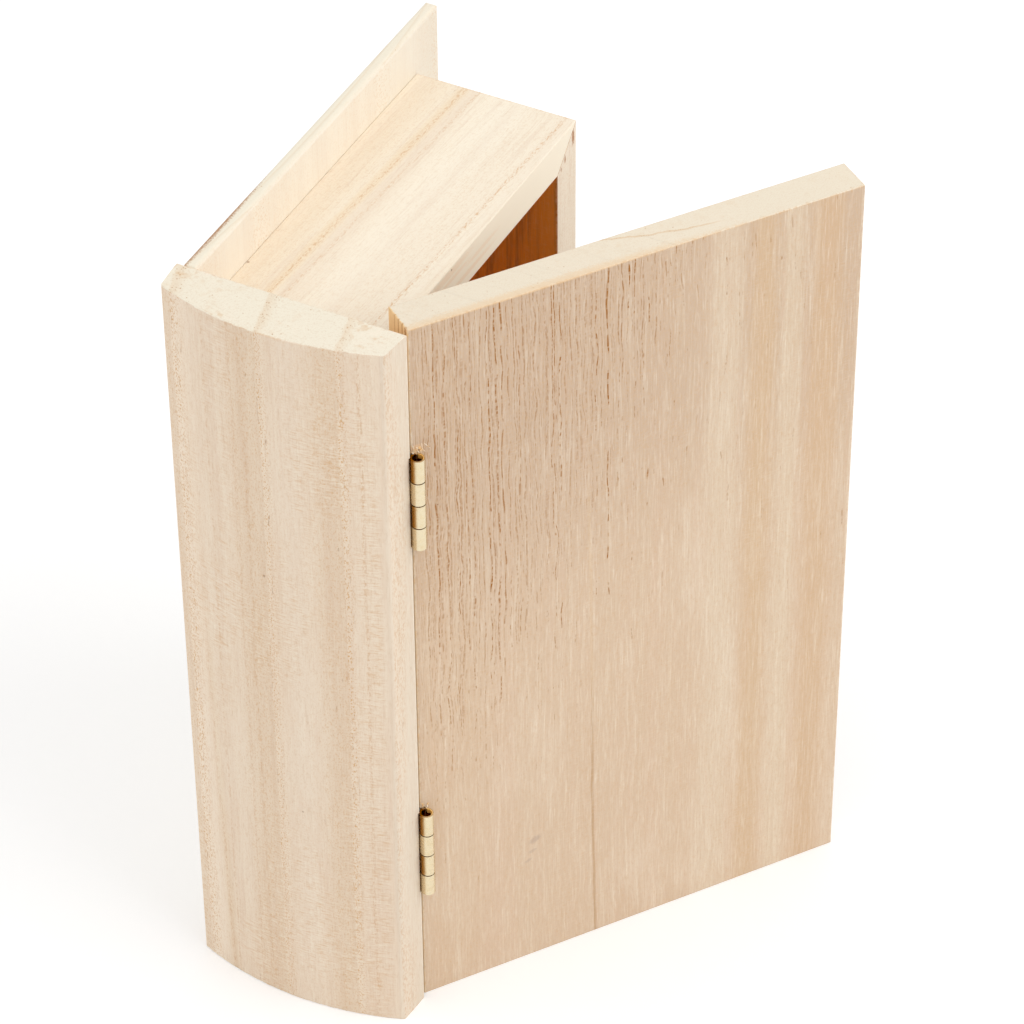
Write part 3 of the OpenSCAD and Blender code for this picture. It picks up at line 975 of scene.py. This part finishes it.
def fibre_material():
    """Raw torn fibres: pale, with rusty ones among them."""
    wood = bpy.context.scene.book_box_wood
    material, shader, place, _ = plain_material("torn_fibre_wood")
    streaks = effect(fibre_streaks, flow=place, seed=5)
    tint = Tint(wood.pale_tone)
    tint.lay(GOLDEN_FIBRE, ramp(streaks["Fuzz"], 0.4, 0.6))
    tint.lay(wood.speck_tone, ramp(streaks["Speck"], 0.5, 0.7))
    relief = bump(streaks["Fine"], FIBRE_RELIEF)
    feed(shader, {"Base Color": tint.colour, "Roughness": 0.8, "Normal": relief})
    return material


# A splinter's rings of corners, where a ring's corners are across it and into the wood, and how
# much narrower it is at its tip
SPLINTER_RINGS = 5
SPLINTER_CORNERS = ((-1, -1), (1, -1), (1, 1), (-1, 1))
SPLINTER_TAPER = 0.6
# Between what a splinter is drawn: its lean in radians, and the rest as shares of the largest
DRAWN_LEAN = (-1.2, 1.2)
DRAWN_LENGTH = (0.35, 1.0)
DRAWN_ACROSS = (0.1, 1.0)
DRAWN_ABOVE = (0.5, 1.2)
DRAWN_WIDTH = (0.4, 1.0)
DRAWN_LIFT = (0.2, 1.0)


def add_splinter(mesh, root, way, length, width, lift):
    """A tapering splinter that lies on the face at its root and curls off it towards its tip.

    It is measured as the board is: X across the face, Y into the wood and Z along the grain.
    """
    side = Vector((way.z, 0, -way.x)) * width / 2
    depth = Vector((0, width / 6, 0))
    rings = []
    for step in range(SPLINTER_RINGS):
        t = step / SPLINTER_RINGS
        middle = root + way * length * t - Vector((0, lift * t * t, 0))
        taper = 1 - SPLINTER_TAPER * t
        corners = (middle + (x * side + y * depth) * taper for x, y in SPLINTER_CORNERS)
        rings.append([mesh.verts.new(corner) for corner in corners])
    tip = mesh.verts.new(root + way * length - Vector((0, lift, 0)))
    mesh.faces.new(reversed(rings[0]))
    neighbours = ((0, 1), (1, 2), (2, 3), (3, 0))
    for low, high in zip(rings, rings[1:]):
        for i, j in neighbours:
            mesh.faces.new((low[i], low[j], high[j], high[i]))
    for i, j in neighbours:
        mesh.faces.new((rings[-1][i], rings[-1][j], tip))


def link(thing):
    bpy.context.scene.collection.objects.link(thing)
    return thing


# Operators


def dress_boards(*nodes):
    """Gives each board its own wood."""
    for node in nodes:
        dress(node, SawnWood(node).material)
    return {"FINISHED"}


class BOOKBOX_OT_spine(bpy.types.Operator):
    """Give the spine its sawn wood"""

    bl_idname = "bookbox.spine"
    bl_label = "Spine"

    def execute(self, context):
        return dress_boards("spine")


class BOOKBOX_OT_covers(bpy.types.Operator):
    """Give both covers their wood"""

    bl_idname = "bookbox.covers"
    bl_label = "Covers"

    def execute(self, context):
        return dress_boards("front_cover", "back_cover")


class BOOKBOX_OT_torn_fibres(bpy.types.Operator):
    """Raise the torn fibres above the hinge notches of the front cover"""

    bl_idname = "bookbox.torn_fibres"
    bl_label = "Torn fibres"

    def execute(self, context):
        fibres = context.scene.book_box_fibres
        axes = board_axes({**PLAIN_LOOK, **LOOKS["front_cover"]})
        low = board_place("front_cover", axes)[0]
        material = fibre_material()
        to_world = axes.transposed()
        for hinge in HINGES:
            notch_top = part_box(hinge + "_cover_leaf")[1][2] / MM + LEAF_FIT - low.z
            splinters = self.tear(fibres, hinge, notch_top)
            for vertex in splinters.verts:
                vertex.co = to_world @ (vertex.co + low) * MM
            mesh = bpy.data.meshes.new(hinge + "_torn_fibres")
            splinters.to_mesh(mesh)
            splinters.free()
            mesh.materials.append(material)
            piece = link(bpy.data.objects.new(hinge + "_torn_fibres", mesh))
            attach(piece, "cover")
        return {"FINISHED"}

    def tear(self, fibres, hinge, notch_top):
        """The splinters above one hinge's notch, as a mesh measured as the board is."""
        splinters = bmesh.new()
        draw = random.Random(f"{hinge} {fibres.seed}")
        for _ in range(getattr(fibres, hinge + "_count")):
            lean = draw.uniform(*DRAWN_LEAN) * draw.random()
            length = fibres.length / MM * draw.uniform(*DRAWN_LENGTH)
            way = Vector((math.sin(lean), 0, -math.cos(lean)))
            across = draw.uniform(*DRAWN_ACROSS) * fibres.spread / MM
            # Past the hinge edge a splinter would enter the spine of the closed box
            if across + way.x * length < SPLINTER_MARGIN:
                way.x = -way.x
            above = length * math.cos(lean) * draw.uniform(*DRAWN_ABOVE)
            root = Vector((across, 0.0, notch_top + above))
            width = fibres.width / MM * draw.uniform(*DRAWN_WIDTH)
            lift = fibres.lift / MM * draw.uniform(*DRAWN_LIFT)
            add_splinter(splinters, root, way, length, width, lift)
        return splinters


class BOOKBOX_OT_tray(bpy.types.Operator):
    """Give the four mitred boards of the tray their wood"""

    bl_idname = "bookbox.tray"
    bl_label = "Tray"

    def execute(self, context):
        return dress_boards("top_board", "bottom_board", "fore_edge_board", "spine_side_board")


class BOOKBOX_OT_hinges(bpy.types.Operator):
    """Give the leaves, pins and screws of both hinges their brass"""

    bl_idname = "bookbox.hinges"
    bl_label = "Hinges"

    def execute(self, context):
        brass = context.scene.book_box_brass
        leaves = {
            side: brass_material(side + "_leaf_brass", brass.leaf_tone, brass.roughness, crevice)
            for side, crevice in LEAF_CREVICES.items()
        }
        pin = brass_material("pin_brass", brass.pin_tone, brass.roughness + PIN_ROUGHNESS, 0.0)
        for hinge in HINGES:
            dress(hinge + "_hinge_pin", pin)
            for side, leaf in leaves.items():
                dress(f"{hinge}_{side}_leaf", leaf)
                for end in ("high", "low"):
                    dress(f"{hinge}_{side}_screw_{end}", leaf)
        return {"FINISHED"}


def shows_background(tree):
    """1 for the rays that show the floor and sky as a background, and 0 for those that light."""
    rays = add("ShaderNodeLightPath", tree=tree).outputs
    seen = calc("MAXIMUM", rays["Is Camera Ray"], rays["Is Glossy Ray"])
    return calc("MAXIMUM", seen, rays["Is Transmission Ray"])


def direction_to(azimuth, elevation):
    """The direction to a lamp or camera. Azimuth 0 is in front of the spine."""
    level = math.cos(elevation)
    return Vector((math.sin(azimuth) * level, -math.cos(azimuth) * level, math.sin(elevation)))


class BOOKBOX_OT_studio(bpy.types.Operator):
    """Set the pale floor, the soft light and the camera"""

    bl_idname = "bookbox.studio"
    bl_label = "Studio"

    def execute(self, context):
        scene = context.scene
        studio = scene.book_box_studio
        self.set_floor(studio)
        self.set_light(scene, studio)
        self.set_camera(scene, studio)
        scene.view_settings.view_transform = "Standard"
        return {"FINISHED"}

    def set_floor(self, studio):
        half = studio.floor_size / 2
        corners = [(-half, -half, 0), (half, -half, 0), (half, half, 0), (-half, half, 0)]
        mesh = bpy.data.meshes.new("floor")
        mesh.from_pydata(corners, [], [(0, 1, 2, 3)])
        floor = link(bpy.data.objects.new("floor", mesh))
        material, shader = new_material("pale_floor")
        lift = times(shows_background(material.node_tree), studio.floor_lift)
        feed(shader, {
            "Base Color": studio.floor_tone, "Roughness": 1.0, "Specular IOR Level": 0.0,
            "Emission Color": (1, 1, 1), "Emission Strength": lift,
        })
        mesh.materials.append(material)
        floor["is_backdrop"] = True

    def set_light(self, scene, studio):
        world = bpy.data.worlds.new("soft_sky")
        world.use_nodes = True
        scene.world = world
        strength = ramp(shows_background(world.node_tree), 0.0, 1.0, studio.sky, 1.0)
        feed(world.node_tree.nodes["Background"], {"Color": (1, 1, 1), "Strength": strength})
        for name in ("key", "fill"):
            light = bpy.data.lights.new(name, "AREA")
            light.size = studio.lamp_size
            light.energy = getattr(studio, name + "_power")
            lamp = link(bpy.data.objects.new(name, light))
            turn, height = (getattr(studio, name + angle) for angle in ("_azimuth", "_elevation"))
            direction = direction_to(turn, height)
            lamp.location = Vector(studio.aim) + direction * studio.lamp_distance
            lamp.rotation_euler = (-direction).to_track_quat("-Z", "Y").to_euler()

    def set_camera(self, scene, studio):
        data = bpy.data.cameras.new("camera")
        data.lens = studio.focal_length
        camera = link(bpy.data.objects.new("camera", data))
        direction = direction_to(studio.azimuth, studio.elevation)
        camera.location = Vector(studio.aim) + direction * studio.distance
        camera.rotation_mode = "QUATERNION"
        level = (-direction).to_track_quat("-Z", "Y")
        camera.rotation_quaternion = level @ Quaternion(ALONG_Z, studio.roll)
        scene.camera = camera


class BOOKBOX_PT_panel(bpy.types.Panel):
    """Lists the sizes and colours, and the pieces to build"""

    bl_idname = "BOOKBOX_PT_panel"
    bl_label = "Book Box"
    bl_space_type = "VIEW_3D"
    bl_region_type = "UI"
    bl_category = "Book Box"

    def draw(self, context):
        for group in PROPERTY_GROUPS:
            box = self.layout.box()
            settings = getattr(context.scene, group)
            for name in settings.bl_rna.properties.keys():
                if name not in {"rna_type", "name"}:
                    box.prop(settings, name)
        for operator in OPERATORS:
            self.layout.operator(operator.bl_idname)


PROPERTY_GROUPS = {
    "book_box_wood": BookBoxWood,
    "book_box_fibres": BookBoxFibres,
    "book_box_brass": BookBoxBrass,
    "book_box_studio": BookBoxStudio,
}
OPERATORS = (
    BOOKBOX_OT_spine,
    BOOKBOX_OT_covers,
    BOOKBOX_OT_torn_fibres,
    BOOKBOX_OT_tray,
    BOOKBOX_OT_hinges,
    BOOKBOX_OT_studio,
)
CLASSES = (*PROPERTY_GROUPS.values(), *OPERATORS, BOOKBOX_PT_panel)


def register():
    for item in CLASSES:
        bpy.utils.register_class(item)
    for name, group in PROPERTY_GROUPS.items():
        setattr(bpy.types.Scene, name, PointerProperty(type=group))


def unregister():
    for name in PROPERTY_GROUPS:
        delattr(bpy.types.Scene, name)
    for item in reversed(CLASSES):
        bpy.utils.unregister_class(item)


def main():
    register()
    bpy.ops.bookbox.spine()
    bpy.ops.bookbox.covers()
    bpy.ops.bookbox.torn_fibres()
    bpy.ops.bookbox.tray()
    bpy.ops.bookbox.hinges()
    bpy.ops.bookbox.studio()
    sizes = {"cad": [list(corner) for corner in cad_box], "visual": [list(corner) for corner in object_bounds()]}


if __name__ == "__main__":
    main()
